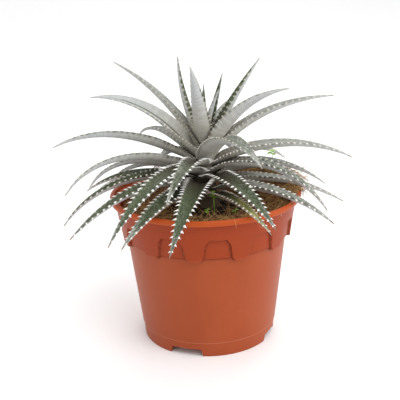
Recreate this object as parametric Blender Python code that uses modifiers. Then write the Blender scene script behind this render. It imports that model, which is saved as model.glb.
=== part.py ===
"""Potted dyckia: a rosette of toothed, channelled leaves on a short stem, in coir soil, in a nursery pot.

Metres, +Z up. The origin is the middle of the pot's foot, on the surface that the pot stands on.
The viewer is at -Y. Azimuths run anticlockwise from +X, so 270 points at the viewer.
"""

import math
from collections import namedtuple

import bmesh
import bpy
import numpy as np

# Clearance between pieces that touch
GAP = 0.0003

# Pot: heights from the surface it stands on, and outer radii
POT_HEIGHT = 0.1195
BEAD_RADIUS = 0.0760
BEAD_UNDERSIDE = 0.1150
COLLAR_TOP_RADIUS = 0.0716
COLLAR_EDGE_RADIUS = 0.0678
TAB_EDGE_HEIGHT = 0.0840
LINER_TOP_RADIUS = 0.0706
LINER_EDGE_RADIUS = 0.0658
LINER_EDGE_HEIGHT = 0.0870
WALL_TOP_RADIUS = 0.0640
WALL_FOOT_RADIUS = 0.0550
FOOT_RADIUS = 0.0533
FOOT_LINE_HEIGHT = 0.0120
WALL_THICKNESS = 0.0019
FLOOR_UNDERSIDE = 0.0066
FLOOR_TOP = 0.0090
POT_STEPS = 48

# Recessed windows in the collar, notches in the foot ring, drain holes in the floor
WINDOW_COUNT = 12
WINDOW_AZIMUTH = 276.7
WINDOW_TOP = 0.1022
WINDOW_HALF_WIDTH = 0.0104
NOTCH_COUNT = 4
NOTCH_AZIMUTH = 249.4
NOTCH_HALF_WIDTH = 0.0122
NOTCH_TOP = 0.0062
DRAIN_COUNT = 4
DRAIN_RADIUS = 0.0045
DRAIN_CIRCLE = 0.0300

# Soil and stem
SOIL_HEIGHT = 0.1085
SOIL_STEPS = 40
MOUND_PLACE = (0.0570, 0.0180)
MOUND_SPREAD = 0.0125
MOUND_HEIGHT = 0.0125
STEM_FOOT = 0.0900
STEM_TOP = 0.1650
STEM_SOIL_RADIUS = 0.0120
STEM_TOP_RADIUS = 0.0020
STEM_STEPS = 16

# Leaves
CURVE_STEPS = 64
LEAF_STATIONS = 8
TOOTH_PITCH = 0.0070
TOOTH_LENGTH = 0.0026
TOOTH_BASE = 0.0032
LEAF_THICKNESS = 0.0032
ROOT_THICKNESS = 0.0012
TIP_THICKNESS = 0.0008
CHANNEL = 0.50
ROOT_WIDTH_SHARE = 0.56
TAPER = 1.75
WRAP_LENGTH = 0.018

DYING_LEAF = "leaf_lower_9"

# Offsets: name, place, number of blades, their length and width, rise of the lowest, azimuth of the first
OFFSETS = (
    ("offset_1", (0.0455, 0.0325), 8, 0.0150, 0.0042, 28, 200),
)
OFFSET_RADIUS = 0.0022
OFFSET_HEIGHT = 0.0035
OFFSET_STATIONS = 3
GOLDEN_ANGLE = 137.5

# Seedlings: name, place, height of the stem, radius of a leaf, number of leaves
SEEDLINGS = (
    ("seedling_1", (0.0550, 0.0205), 0.0250, 0.0024, 4),
    ("seedling_2", (0.0010, -0.0280), 0.0035, 0.0017, 3),
    ("seedling_3", (0.0225, -0.0285), 0.0030, 0.0015, 2),
)
SEEDLING_RADIUS = 0.0006
STALK_PLACE = (0.0177, -0.0262)
STALK_RADIUS = 0.0006
STALK_HEIGHT = 0.0160
PEG_DEPTH = 0.0050
PEG_SIDES = 8
HOLE_REACH = 0.0200

# Each leaf: its azimuth, the height of its root, its rise at the root and at the tip, its bend, sideways
# sweep, roll, length and width. A bend over 1 keeps the curve for the outer part. Angles are in degrees.
Leaf = namedtuple("Leaf", "name azimuth height rise end bend sweep roll length width")
LEAVES = (
    ("leaf_crown_1", 320, 0.1655, 79, 62, 1.0, 0, 0, 0.039, 0.0065),
    ("leaf_crown_2", 86, 0.1654, 76, 64, 1.0, 0, 0, 0.040, 0.0062),
    ("leaf_crown_3", 38, 0.1621, 70, 73, 1.0, 0, 0, 0.051, 0.0082),
    ("leaf_crown_4", 144, 0.1616, 57, 90, 1.0, 0, 28, 0.066, 0.0122),
    ("leaf_crown_5", 256, 0.1602, 73, 55, 1.0, 0, 0, 0.071, 0.0150),
    ("leaf_crown_6", 18, 0.1570, 60, 53, 1.0, 0, -10, 0.077, 0.0145),
    ("leaf_upper_1", 68, 0.1488, 50, -2, 0.9, 0, 0, 0.086, 0.0125),
    ("leaf_upper_2", 339, 0.1512, 64, 11, 1.2, 0, -30, 0.085, 0.0165),
    ("leaf_upper_3", 4, 0.1480, 54, 1, 0.8, 0, 0, 0.109, 0.0155),
    ("leaf_upper_4", 149, 0.1570, 52, 26, 1.1, 0, -2, 0.100, 0.0120),
    ("leaf_upper_5", 197, 0.1489, 53, -1, 1.7, 0, -24, 0.100, 0.0170),
    ("leaf_upper_6", 140, 0.1480, 25, -46, 2.6, -8, 0, 0.074, 0.0120),
    ("leaf_middle_1", 180, 0.1445, 29, -26, 1.5, 0, 24, 0.117, 0.0155),
    ("leaf_middle_2", 197, 0.1388, 25, -56, 1.6, 0, 15, 0.114, 0.0152),
    ("leaf_middle_3", 169, 0.1350, 19, -60, 1.6, 0, 8, 0.099, 0.0143),
    ("leaf_middle_4", 293, 0.1440, 82, -24, 0.5, 0, 0, 0.104, 0.0175),
    ("leaf_middle_5", 0, 0.1425, 25, -26, 1.1, 0, 4, 0.113, 0.0160),
    ("leaf_middle_6", 252, 0.1422, 46, -38, 0.55, -6, 0, 0.079, 0.0148),
    ("leaf_middle_7", 234, 0.1350, 51, -42, 0.45, 0, 0, 0.119, 0.0162),
    ("leaf_middle_8", 343, 0.1375, 31, -56, 0.8, 0, 0, 0.103, 0.0150),
    ("leaf_middle_9", 10, 0.1335, 30, -40, 0.75, 0, 0, 0.098, 0.0135),
    ("leaf_lower_1", 164, 0.1260, 13, -37, 1.4, 0, -12, 0.097, 0.0130),
    ("leaf_lower_2", 188, 0.1333, 7, -54, 1.4, 0, 0, 0.116, 0.0136),
    ("leaf_lower_3", 214, 0.1250, 32, -37, 0.65, 0, 0, 0.117, 0.0146),
    ("leaf_lower_4", 241, 0.1185, 36, -27, 0.55, -3, 0, 0.109, 0.0185),
    ("leaf_lower_5", 262, 0.1288, 18, -37, 0.8, -12, 0, 0.109, 0.0183),
    ("leaf_lower_6", 300, 0.1325, 23, -33, 0.6, 2, 0, 0.092, 0.0165),
    ("leaf_lower_7", 331, 0.1240, 12, -32, 1.1, -4, 0, 0.103, 0.0140),
    ("leaf_lower_8", 0, 0.1285, 5, -32, 1.2, 0, 0, 0.105, 0.0135),
    ("leaf_lower_9", 295, 0.1195, 14, -20, 1.1, 0, 0, 0.096, 0.0100),
    ("leaf_back_1", 94, 0.1450, 32, -50, 1.0, 0, 0, 0.092, 0.0150),
    ("leaf_back_2", 73, 0.1410, 24, -48, 1.0, 0, 0, 0.096, 0.0138),
    ("leaf_back_3", 117, 0.1388, 20, -48, 1.0, 0, 0, 0.096, 0.0148),
    ("leaf_back_4", 45, 0.1372, 22, -36, 1.0, 0, 0, 0.097, 0.0130),
    ("leaf_back_5", 30, 0.1315, 12, -38, 1.0, 0, 0, 0.100, 0.0130),
    ("leaf_back_6", 142, 0.1318, 16, -42, 1.0, 0, 0, 0.105, 0.0135),
    ("leaf_back_7", 92, 0.1335, 16, -42, 1.0, 0, 0, 0.105, 0.0150),
    ("leaf_back_8", 146, 0.1218, 14, -32, 1.0, 0, 0, 0.104, 0.0130),
    ("leaf_back_9", 63, 0.1275, 14, -34, 1.0, 0, 0, 0.102, 0.0140),
    ("leaf_back_10", 118, 0.1255, 14, -34, 1.0, 0, 0, 0.102, 0.0145),
)


def linear(level):
    """An sRGB level of 0 to 255 as linear light."""
    share = level / 255
    return share / 12.92 if share <= 0.04045 else ((share + 0.055) / 1.055) ** 2.4


def new_material(name, red, green, blue, roughness):
    """A Principled material of one sRGB colour."""
    material = bpy.data.materials.new(name)
    material.use_nodes = True
    shader = material.node_tree.nodes["Principled BSDF"]
    shader.inputs["Base Color"].default_value = (linear(red), linear(green), linear(blue), 1.0)
    shader.inputs["Roughness"].default_value = roughness
    shader.inputs["Metallic"].default_value = 0.0
    return material


def new_object(name, mesh, collection, material=None):
    """An object for a mesh, in a collection, shaded smooth between its sharp edges."""
    thing = bpy.data.objects.new(name, mesh)
    collection.objects.link(thing)
    if material:
        mesh.materials.append(material)
        mesh.shade_smooth()
        mesh.set_sharp_from_angle(angle=math.radians(40))
    return thing


def turned(name, profile, steps, collection, material=None):
    """A profile of (radius, height) points turned round +Z with a Screw modifier."""
    mesh = bpy.data.meshes.new(name)
    edges = [(i, i + 1) for i in range(len(profile) - 1)]
    if profile[0][0] > 0:
        edges.append((len(profile) - 1, 0))
    mesh.from_pydata([(radius, 0, height) for radius, height in profile], edges, [])
    thing = new_object(name, mesh, collection)
    screw = thing.modifiers.new("turn", "SCREW")
    screw.steps = steps
    screw.render_steps = steps
    screw.use_merge_vertices = True
    screw.merge_threshold = 0.00001
    screw.use_smooth_shade = False
    if material:
        mesh.materials.append(material)
    return thing


def apply_modifiers(thing):
    """Replaces an object's mesh by its evaluated mesh."""
    graph = bpy.context.evaluated_depsgraph_get()
    mesh = bpy.data.meshes.new_from_object(thing.evaluated_get(graph))
    thing.modifiers.clear()
    thing.data = mesh


def cut(thing, cutter, operation="DIFFERENCE"):
    """Adds a Boolean with another object, which becomes a hidden guide."""
    boolean = thing.modifiers.new(operation.lower(), "BOOLEAN")
    boolean.operation = operation
    boolean.solver = "EXACT"
    boolean.object = cutter
    cutter.hide_render = True
    cutter.display_type = "WIRE"
    return boolean


def radial_prism(name, outline, azimuth, inner, outer, collection):
    """A flat outline of (across, up) points extruded outwards from inner to outer radius at an azimuth."""
    mesh = bpy.data.meshes.new(name)
    bm = bmesh.new()
    face = bm.faces.new([bm.verts.new((inner, across, up)) for across, up in outline])
    grown = bmesh.ops.extrude_face_region(bm, geom=[face])["geom"]
    moved = [v for v in grown if isinstance(v, bmesh.types.BMVert)]
    bmesh.ops.translate(bm, verts=moved, vec=(outer - inner, 0, 0))
    bmesh.ops.recalc_face_normals(bm, faces=bm.faces)
    bm.to_mesh(mesh)
    bm.free()
    prism = new_object(name, mesh, collection)
    prism.rotation_euler = (0, 0, math.radians(azimuth))
    return prism


def join_meshes(name, things, collection):
    """One object of several cutters that don't touch each other."""
    bm = bmesh.new()
    for thing in things:
        mesh = thing.data.copy()
        mesh.transform(thing.matrix_basis)
        bm.from_mesh(mesh)
        bpy.data.meshes.remove(mesh)
        bpy.data.objects.remove(thing)
    mesh = bpy.data.meshes.new(name)
    bm.to_mesh(mesh)
    bm.free()
    return new_object(name, mesh, collection)


def wall_radius(height):
    """Outer radius of the plain wall."""
    share = (height - FOOT_LINE_HEIGHT) / (LINER_EDGE_HEIGHT - FOOT_LINE_HEIGHT)
    return WALL_FOOT_RADIUS + share * (WALL_TOP_RADIUS - WALL_FOOT_RADIUS)


def liner_points():
    """The pot wall behind the castellated collar, top to bottom."""
    return [
        (LINER_TOP_RADIUS, BEAD_UNDERSIDE + 0.0003),
        (LINER_TOP_RADIUS - 0.0006, 0.1075),
        (LINER_EDGE_RADIUS + 0.0021, 0.1035),
        (LINER_EDGE_RADIUS, LINER_EDGE_HEIGHT),
    ]


def pot_profile():
    """From the middle of the floor up the inside, over the bead, down the outside and under the floor."""
    inside = [(radius - WALL_THICKNESS, height) for radius, height in reversed(liner_points())]
    bead = [
        (BEAD_RADIUS - 0.0040, 0.1166),
        (BEAD_RADIUS - 0.0035, 0.1186),
        (BEAD_RADIUS - 0.0020, POT_HEIGHT),
        (BEAD_RADIUS - 0.0006, 0.1190),
        (BEAD_RADIUS, 0.1178),
        (BEAD_RADIUS, 0.1164),
        (BEAD_RADIUS - 0.0008, BEAD_UNDERSIDE),
    ]
    outside = [
        (WALL_TOP_RADIUS, LINER_EDGE_HEIGHT - 0.0004),
        (WALL_FOOT_RADIUS, FOOT_LINE_HEIGHT),
        (WALL_FOOT_RADIUS - 0.0005, FOOT_LINE_HEIGHT - 0.0005),
        (FOOT_RADIUS, 0.0),
        (FOOT_RADIUS - 0.0022, 0.0),
        (FOOT_RADIUS - 0.0018, FLOOR_UNDERSIDE),
    ]
    floor_edge = wall_radius(FLOOR_TOP) - WALL_THICKNESS
    return [
        (0.0, FLOOR_TOP),
        (floor_edge - 0.0010, FLOOR_TOP),
        (floor_edge + 0.0002, FLOOR_TOP + 0.0012),
        (wall_radius(0.0835) - WALL_THICKNESS, 0.0835),
        *inside,
        *bead,
        *liner_points(),
        *outside,
        (0.0, FLOOR_UNDERSIDE),
    ]


def collar_profile():
    """The collar's section, with its inner side sunk in the pot's wall."""
    sunk = WALL_THICKNESS / 2
    inner = [(radius - sunk, height) for radius, height in reversed(liner_points())]
    return [
        (COLLAR_TOP_RADIUS, BEAD_UNDERSIDE + 0.0008),
        (COLLAR_TOP_RADIUS - 0.0008, 0.1073),
        (COLLAR_EDGE_RADIUS, LINER_EDGE_HEIGHT),
        (COLLAR_EDGE_RADIUS - 0.0003, TAB_EDGE_HEIGHT + 0.0005),
        (COLLAR_EDGE_RADIUS - 0.0008, TAB_EDGE_HEIGHT),
        (wall_radius(TAB_EDGE_HEIGHT) - sunk, TAB_EDGE_HEIGHT),
        *inner,
    ]


def window_outline():
    """The recess between two tabs: chamfered at the top, flared where the tabs' lower corners are cut."""
    half = WINDOW_HALF_WIDTH
    right = [
        (half + 0.0032, TAB_EDGE_HEIGHT - 0.0020),
        (half + 0.0028, TAB_EDGE_HEIGHT),
        (half + 0.0004, TAB_EDGE_HEIGHT + 0.0034),
        (half - 0.0012, WINDOW_TOP - 0.0040),
        (half - 0.0042, WINDOW_TOP),
    ]
    left = [(-across, up) for across, up in reversed(right)]
    return right + left


def notch_outline():
    """A gap in the foot ring with slanted ends."""
    half = NOTCH_HALF_WIDTH
    return [(half + 0.0014, -0.0010), (half, NOTCH_TOP), (-half, NOTCH_TOP), (-half - 0.0014, -0.0010)]


def make_pot(parts, cutters):
    """The nursery pot: a turned body, a castellated collar round it, a notched foot and a drained floor."""
    material = new_material("orange_plastic", 178, 84, 52, 0.42)
    collar = turned("collar_ring", collar_profile(), POT_STEPS, cutters)
    windows = []
    for index in range(WINDOW_COUNT):
        azimuth = WINDOW_AZIMUTH + index * 360 / WINDOW_COUNT
        windows.append(radial_prism(f"window_{index}", window_outline(), azimuth, 0.058, 0.080, cutters))
    cut(collar, join_meshes("collar_windows", windows, cutters))
    pot = turned("pot", pot_profile(), POT_STEPS, parts, material)
    cut(pot, collar, "UNION")
    openings = []
    for index in range(NOTCH_COUNT):
        azimuth = NOTCH_AZIMUTH + index * 360 / NOTCH_COUNT
        openings.append(radial_prism(f"notch_{index}", notch_outline(), azimuth, 0.044, 0.062, cutters))
    cut(pot, join_meshes("foot_notches", openings, cutters))
    drains = []
    for index in range(DRAIN_COUNT):
        azimuth = math.radians(NOTCH_AZIMUTH + 45 + index * 360 / DRAIN_COUNT)
        bpy.ops.mesh.primitive_cylinder_add(
            vertices=10,
            radius=DRAIN_RADIUS,
            depth=0.012,
            location=(DRAIN_CIRCLE * math.cos(azimuth), DRAIN_CIRCLE * math.sin(azimuth), 0.008),
        )
        drains.append(bpy.context.object)
    cut(pot, join_meshes("drain_holes", drains, cutters))
    return pot


def stem_radius(height):
    """The stem tapers from the soil to the crown."""
    share = min(max((height - SOIL_HEIGHT) / (STEM_TOP - SOIL_HEIGHT), 0.0), 1.0)
    return STEM_SOIL_RADIUS + share * (STEM_TOP_RADIUS - STEM_SOIL_RADIUS)


def make_stem(parts):
    """The short woody stem that the leaves grow from."""
    material = new_material("stem_bark", 96, 78, 58, 0.85)
    profile = [
        (0.0, STEM_TOP + 0.0008),
        (STEM_TOP_RADIUS * 0.6, STEM_TOP + 0.0005),
        (STEM_TOP_RADIUS, STEM_TOP),
        (stem_radius(0.1400), 0.1400),
        (STEM_SOIL_RADIUS, SOIL_HEIGHT),
        (STEM_SOIL_RADIUS - 0.0010, STEM_FOOT + 0.0020),
        (STEM_SOIL_RADIUS - 0.0040, STEM_FOOT),
        (0.0, STEM_FOOT),
    ]
    return turned("stem", profile, STEM_STEPS, parts, material)


def soil_relief(x, y):
    """Height of the soil over its level: low waves and a mound of coir behind right."""
    waves = math.sin(x * 310 + 1.3) * math.cos(y * 270 + 0.4) + 0.7 * math.sin(x * 520 - y * 430 + 2.0)
    tuft = math.exp(-((x - MOUND_PLACE[0]) ** 2 + (y - MOUND_PLACE[1]) ** 2) / (2 * MOUND_SPREAD**2))
    return 0.0009 * waves + MOUND_HEIGHT * tuft


def make_soil(parts):
    """The soil that fills the pot, with a plain hole for the stem."""
    material = new_material("coir_soil", 128, 92, 56, 0.95)
    hole = STEM_SOIL_RADIUS + GAP
    floor = FLOOR_TOP + GAP
    floor_edge = wall_radius(FLOOR_TOP) - WALL_THICKNESS - 0.0014
    wall_gap = WALL_THICKNESS + GAP + 0.0002
    lined = [(radius - wall_gap, height) for radius, height in liner_points()[1:]]
    profile = [
        (0.0, STEM_FOOT - GAP),
        (hole, STEM_FOOT - GAP),
        (hole, SOIL_HEIGHT),
        (0.020, SOIL_HEIGHT),
        (0.029, SOIL_HEIGHT),
        (0.038, SOIL_HEIGHT),
        (0.047, SOIL_HEIGHT),
        (0.056, SOIL_HEIGHT),
        (0.063, SOIL_HEIGHT),
        *lined,
        (wall_radius(0.0835) - wall_gap, 0.0835),
        (floor_edge, FLOOR_TOP + 0.0016),
        (floor_edge - 0.0016, floor),
        (0.0, floor),
    ]
    soil = turned("soil", profile, SOIL_STEPS, parts, material)
    apply_modifiers(soil)
    for vertex in soil.data.vertices:
        radius = math.hypot(vertex.co.x, vertex.co.y)
        if vertex.co.z > SOIL_HEIGHT - 0.0001 and radius > hole + 0.001:
            vertex.co.z += soil_relief(vertex.co.x, vertex.co.y)
    return soil


def make_curve(leaf, radius, centre=(0.0, 0.0)):
    """Shares, points, side vectors and normals along a leaf's middle line, at even steps from root to tip."""
    start = math.radians(leaf.azimuth)
    root = np.array([centre[0] + radius * math.cos(start), centre[1] + radius * math.sin(start), leaf.height])

    def heading(share):
        lift = np.radians(leaf.rise + (leaf.end - leaf.rise) * share**leaf.bend)
        turn = np.radians(leaf.azimuth + leaf.sweep * share)
        along = np.stack([np.cos(lift) * np.cos(turn), np.cos(lift) * np.sin(turn), np.sin(lift)], 1)
        side = np.stack([-np.sin(turn), np.cos(turn), np.zeros_like(turn)], 1)
        return along, side

    middles = (np.arange(CURVE_STEPS) + 0.5) / CURVE_STEPS
    points = root + np.vstack([np.zeros(3), np.cumsum(heading(middles)[0] * leaf.length / CURVE_STEPS, 0)])
    shares = np.linspace(0, 1, CURVE_STEPS + 1)
    along, side = heading(shares)
    normal = np.cross(along, side)
    roll = math.radians(leaf.roll) * np.minimum(shares / 0.3, 1.0)[:, None]
    sides = side * np.cos(roll) + normal * np.sin(roll)
    normals = normal * np.cos(roll) - side * np.sin(roll)
    return radius, shares, points, sides, normals


def root_radius(height):
    """Distance of a leaf's root from the axis: clear of the stem just below it."""
    return stem_radius(height - 0.0030) + 2 * GAP


def swell(share, start, full):
    """From start at the root to 1 where the blade is full, with an even slope."""
    return start + (1 - start) * min(1.0, share / full)


def half_width(leaf, share):
    """Half of the blade's width: drawn in at the root, widest near it, then tapering to the tip."""
    return leaf.width / 2 * swell(share, ROOT_WIDTH_SHARE, 0.18) * (1 - share**TAPER)


def leaf_point(leaf, curve, share, across, drop, reach=0.0):
    """A point on the blade: across is -1 to 1 between the margins, drop is below it, reach is past it."""
    radius, shares, *tracks = curve
    centre, side, normal = ([np.interp(share, shares, axis) for axis in track.T] for track in tracks)
    centre, side, normal = np.array(centre), np.array(side), np.array(normal)
    half = half_width(leaf, share)
    offset = half * across + reach * np.sign(across)
    free = side * offset + normal * CHANNEL * half * across * across
    azimuth = math.radians(leaf.azimuth)
    outward = np.array([math.cos(azimuth), math.sin(azimuth), 0.0])
    tangent = np.array([-math.sin(azimuth), math.cos(azimuth), 0.0])
    turn = max(-1.9, min(1.9, offset / radius))
    wrapped = tangent * radius * math.sin(turn) - outward * radius * (1 - math.cos(turn))
    ease = min(1.0, share * leaf.length / min(WRAP_LENGTH, 0.3 * leaf.length))
    ease = ease * ease * (3 - 2 * ease)
    return centre + wrapped * (1 - ease) + free * ease - normal * drop


def thickness(leaf, share):
    """Thickness of the blade's middle: a thin root, a fleshy lower part and a thin tip."""
    full = min(LEAF_THICKNESS, 0.3 * leaf.width)
    root = swell(share, ROOT_THICKNESS / LEAF_THICKNESS, 0.22)
    return TIP_THICKNESS + (full * root - TIP_THICKNESS) * (1 - share) ** 0.8


def margin_line(leaf, curve, hand):
    """(share, point) along one margin, out and back round each tooth."""
    free_length = 0.92 * leaf.length - 0.002
    count = max(3, round(free_length / TOOTH_PITCH))
    line = [(0.0, leaf_point(leaf, curve, 0.0, hand, 0.0))]
    for index in range(count):
        place = 0.06 + (index + 0.25 + 0.25 * hand) * 0.92 / count
        size = (1 - place) ** 0.35 * min(1.0, leaf.width / 0.010)
        half_base = TOOTH_BASE / 2 / leaf.length * size
        lean = (0.7 * place - 0.2) * half_base
        line.append((place - half_base, leaf_point(leaf, curve, place - half_base, hand, 0.0)))
        line.append((place + lean, leaf_point(leaf, curve, place + lean, hand, 0.0, TOOTH_LENGTH * size)))
        line.append((place + half_base, leaf_point(leaf, curve, place + half_base, hand, 0.0)))
    return line


def bridge(bm, left, right, tip):
    """Triangles between two lines of (share, vertex) that share their tip."""
    i = j = 0
    while i < len(left) - 1 or j < len(right) - 1:
        go_left = j == len(right) - 1 or (i < len(left) - 1 and left[i + 1][0] <= right[j + 1][0])
        if go_left:
            bm.faces.new((left[i][1], left[i + 1][1], right[j][1]))
            i += 1
        else:
            bm.faces.new((left[i][1], right[j + 1][1], right[j][1]))
            j += 1
    bm.faces.new((left[-1][1], tip, right[-1][1]))


def add_leaf(bm, leaf, curve, stations):
    """One channelled blade with toothed margins: five lines from root to tip, bridged all round."""
    places = [index / stations for index in range(stations)]
    groove = [(s, leaf_point(leaf, curve, s, 0.0, 0.0)) for s in places]
    keels = []
    for across in (-0.5, 0.5):
        keels.append([(s, leaf_point(leaf, curve, s, across, thickness(leaf, s))) for s in places])
    lines = [margin_line(leaf, curve, 1), groove, margin_line(leaf, curve, -1), *keels]
    lines = [[(share, bm.verts.new(point)) for share, point in line] for line in lines]
    tip = bm.verts.new(leaf_point(leaf, curve, 1.0, 0.0, TIP_THICKNESS / 2))
    for index, line in enumerate(lines):
        bridge(bm, line, lines[(index + 1) % len(lines)], tip)
    left, groove_root, right, keel_right, keel_left = (line[0][1] for line in lines)
    bm.faces.new((left, groove_root, keel_left))
    bm.faces.new((groove_root, keel_right, keel_left))
    bm.faces.new((groove_root, right, keel_right))


def blade_mesh(leaf, radius, centre=(0.0, 0.0), stations=LEAF_STATIONS):
    """The mesh of one leaf, with its faces pointing out."""
    mesh = bpy.data.meshes.new(leaf.name)
    bm = bmesh.new()
    add_leaf(bm, leaf, make_curve(leaf, radius, centre), stations)
    if bm.calc_volume(signed=True) < 0:
        bmesh.ops.reverse_faces(bm, faces=bm.faces)
    bm.to_mesh(mesh)
    bm.free()
    return mesh


def make_leaves(parts):
    """Every leaf of the rosette, each a node of its own."""
    green = new_material("leaf_green", 104, 114, 106, 0.6)
    dying = new_material("leaf_yellow", 150, 146, 84, 0.7)
    for row in LEAVES:
        leaf = Leaf(*row)
        mesh = blade_mesh(leaf, root_radius(leaf.height))
        new_object(leaf.name, mesh, parts, dying if leaf.name == DYING_LEAF else green)


def soil_top(x, y):
    """Height of the soil at a place."""
    return SOIL_HEIGHT + soil_relief(x, y)


def make_peg(name, place, radius, top, collection, material):
    """A round peg that stands in a plain hole in the soil."""
    low = soil_top(*place) - PEG_DEPTH
    mesh = bpy.data.meshes.new(name)
    bm = bmesh.new()
    bmesh.ops.create_cone(
        bm, cap_ends=True, segments=PEG_SIDES, radius1=radius, radius2=radius * 0.8, depth=top - low
    )
    bmesh.ops.translate(bm, verts=bm.verts, vec=(*place, (low + top) / 2))
    bm.to_mesh(mesh)
    bm.free()
    return new_object(name, mesh, collection, material)


def fuse(thing, pieces):
    """Joins pieces into an object one by one with Boolean unions."""
    for piece in pieces:
        union = cut(thing, piece, "UNION")
        union.name = "union " + piece.name
        apply_modifiers(thing)
        bpy.data.objects.remove(piece)


def make_offsets(parts):
    """Small offset rosettes beside the plant, each fused to its own short stem."""
    material = new_material("offset_green", 120, 138, 122, 0.6)
    for name, place, count, length, width, lowest, first in OFFSETS:
        top = soil_top(*place) + OFFSET_HEIGHT
        offset = make_peg(name, place, OFFSET_RADIUS, top, parts, material)
        blades = []
        for index in range(count):
            rise = lowest + (78 - lowest) * index / count
            azimuth = first + index * GOLDEN_ANGLE
            leaf = Leaf(f"{name}_blade", azimuth, top - 0.0010, rise, rise - 20, 1.0, 0, 0, length, width)
            mesh = blade_mesh(leaf, OFFSET_RADIUS / 2, place, OFFSET_STATIONS)
            blades.append(new_object(leaf.name, mesh, parts))
        fuse(offset, blades)


def make_seedlings(parts):
    """Small weed seedlings: a thin stem with round leaves at its top."""
    material = new_material("seedling_green", 140, 184, 60, 0.5)
    for name, place, height, leaf_radius, count in SEEDLINGS:
        top = soil_top(*place) + height
        seedling = make_peg(name, place, SEEDLING_RADIUS, top, parts, material)
        leaves = []
        for index in range(count):
            azimuth = math.radians(20 + index * 360 / count)
            out_x = 0.85 * leaf_radius * math.cos(azimuth)
            out_y = 0.85 * leaf_radius * math.sin(azimuth)
            bpy.ops.mesh.primitive_uv_sphere_add(
                segments=8,
                ring_count=5,
                radius=leaf_radius,
                location=(place[0] + out_x, place[1] + out_y, top - 0.0004 - index * 0.0006),
                rotation=(0, math.radians(-18), azimuth),
                scale=(1.0, 0.8, 0.32),
            )
            leaf = bpy.context.object
            leaf.name = f"{name}_leaf_{index}"
            leaves.append(leaf)
        fuse(seedling, leaves)


def cut_soil_holes(soil, cutters):
    """Plain holes in the soil for what stands in it."""
    pegs = [(place, OFFSET_RADIUS) for _, place, *_ in OFFSETS]
    pegs += [(place, SEEDLING_RADIUS) for _, place, *_ in SEEDLINGS]
    pegs.append((STALK_PLACE, STALK_RADIUS))
    holes = []
    for index, (place, radius) in enumerate(pegs):
        bpy.ops.mesh.primitive_cylinder_add(
            vertices=PEG_SIDES,
            radius=radius + 2 * GAP,
            depth=HOLE_REACH + PEG_DEPTH + GAP,
            location=(*place, soil_top(*place) + (HOLE_REACH - PEG_DEPTH - GAP) / 2),
        )
        hole = bpy.context.object
        hole.name = f"hole_{index}"
        holes.append(hole)
    cut(soil, join_meshes("soil_holes", holes, cutters))


def main():
    for thing in list(bpy.data.objects):
        bpy.data.objects.remove(thing)
    parts = bpy.data.collections.new("potted_dyckia")
    cutters = bpy.data.collections.new("cutters")
    bpy.context.scene.collection.children.link(parts)
    bpy.context.scene.collection.children.link(cutters)
    make_pot(parts, cutters)
    soil = make_soil(parts)
    cut_soil_holes(soil, cutters)
    make_stem(parts)
    make_leaves(parts)
    make_offsets(parts)
    make_seedlings(parts)
    straw = new_material("dry_stalk_straw", 150, 110, 60, 0.8)
    make_peg("dry_stalk", STALK_PLACE, STALK_RADIUS, soil_top(*STALK_PLACE) + STALK_HEIGHT, parts, straw)


main()
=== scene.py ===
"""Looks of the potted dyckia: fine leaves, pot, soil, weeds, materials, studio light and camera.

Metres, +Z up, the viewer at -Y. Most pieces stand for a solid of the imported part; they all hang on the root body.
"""

import math
import random
from collections import namedtuple

import bmesh
import bpy
import numpy as np
from mathutils import Matrix, Vector, noise


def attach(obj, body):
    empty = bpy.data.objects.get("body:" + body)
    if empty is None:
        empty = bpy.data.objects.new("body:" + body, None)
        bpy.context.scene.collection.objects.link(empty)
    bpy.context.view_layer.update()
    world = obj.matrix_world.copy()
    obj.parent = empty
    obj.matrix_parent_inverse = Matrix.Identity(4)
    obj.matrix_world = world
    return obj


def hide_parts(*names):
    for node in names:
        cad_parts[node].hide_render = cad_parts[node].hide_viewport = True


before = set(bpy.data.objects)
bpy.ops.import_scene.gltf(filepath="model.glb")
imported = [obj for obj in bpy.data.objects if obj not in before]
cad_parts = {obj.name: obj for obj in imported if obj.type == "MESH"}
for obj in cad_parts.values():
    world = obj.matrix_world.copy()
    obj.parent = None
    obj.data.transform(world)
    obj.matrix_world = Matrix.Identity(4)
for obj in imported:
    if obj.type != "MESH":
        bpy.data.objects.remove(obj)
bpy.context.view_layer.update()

GAP = 0.0003

# Pot, as in the part
POT_HEIGHT = 0.1195
BEAD_RADIUS = 0.0760
BEAD_UNDERSIDE = 0.1150
COLLAR_TOP_RADIUS = 0.0716
COLLAR_EDGE_RADIUS = 0.0678
TAB_EDGE_HEIGHT = 0.0840
LINER_TOP_RADIUS = 0.0706
LINER_EDGE_RADIUS = 0.0658
LINER_EDGE_HEIGHT = 0.0870
WALL_TOP_RADIUS = 0.0640
WALL_FOOT_RADIUS = 0.0550
FOOT_RADIUS = 0.0533
FOOT_LINE_HEIGHT = 0.0120
WALL_THICKNESS = 0.0019
FLOOR_UNDERSIDE = 0.0066
FLOOR_TOP = 0.0090
WINDOW_COUNT = 12
WINDOW_AZIMUTH = 276.7
WINDOW_TOP = 0.1022
WINDOW_HALF_WIDTH = 0.0104
NOTCH_COUNT = 4
NOTCH_AZIMUTH = 249.4
NOTCH_HALF_WIDTH = 0.0122
NOTCH_TOP = 0.0062
DRAIN_COUNT = 4
DRAIN_RADIUS = 0.0045
DRAIN_CIRCLE = 0.0300
POT_COLUMNS = 540
POT_EDGE = 0.0007

# Soil and stem, as in the part
SOIL_HEIGHT = 0.1085
MOUND_PLACE = (0.0570, 0.0180)
MOUND_SPREAD = 0.0125
MOUND_HEIGHT = 0.0125
STEM_FOOT = 0.0900
STEM_TOP = 0.1650
STEM_SOIL_RADIUS = 0.0120
STEM_TOP_RADIUS = 0.0020

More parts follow.
